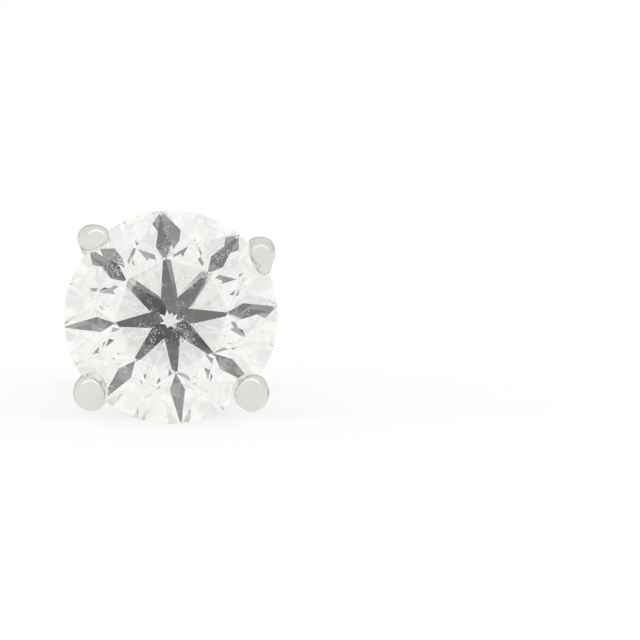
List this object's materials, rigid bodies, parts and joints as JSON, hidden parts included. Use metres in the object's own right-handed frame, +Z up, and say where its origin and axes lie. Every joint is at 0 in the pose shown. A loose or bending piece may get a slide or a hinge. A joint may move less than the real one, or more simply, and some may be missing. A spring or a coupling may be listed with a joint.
{
  "type": "stud earring",
  "caption": "Stud earring: a round brilliant-cut clear stone in a prong setting of polished white metal, with a straight friction post and a butterfly clutch on it.",
  "frame": {"origin": "on the floor under the middle of the stud's bounding box, as it lies on its side", "axes": "+Z up, +Y from the stone towards the end of the post, +X to the right seen from the stone's face. The stone faces -Y and 7.7 degrees up."},
  "size_m": [0.0065, 0.0158, 0.0065],
  "materials": {
    "stone": "faceted and polished, colourless",
    "setting_metal": "polished white gold",
    "clutch_metal": "polished white gold sheet"
  },
  "bodies": {
    "root": {"stone": "stone", "setting_with_post": "setting_metal", "butterfly_clutch": "clutch_metal"}
  },
  "joints": []
}
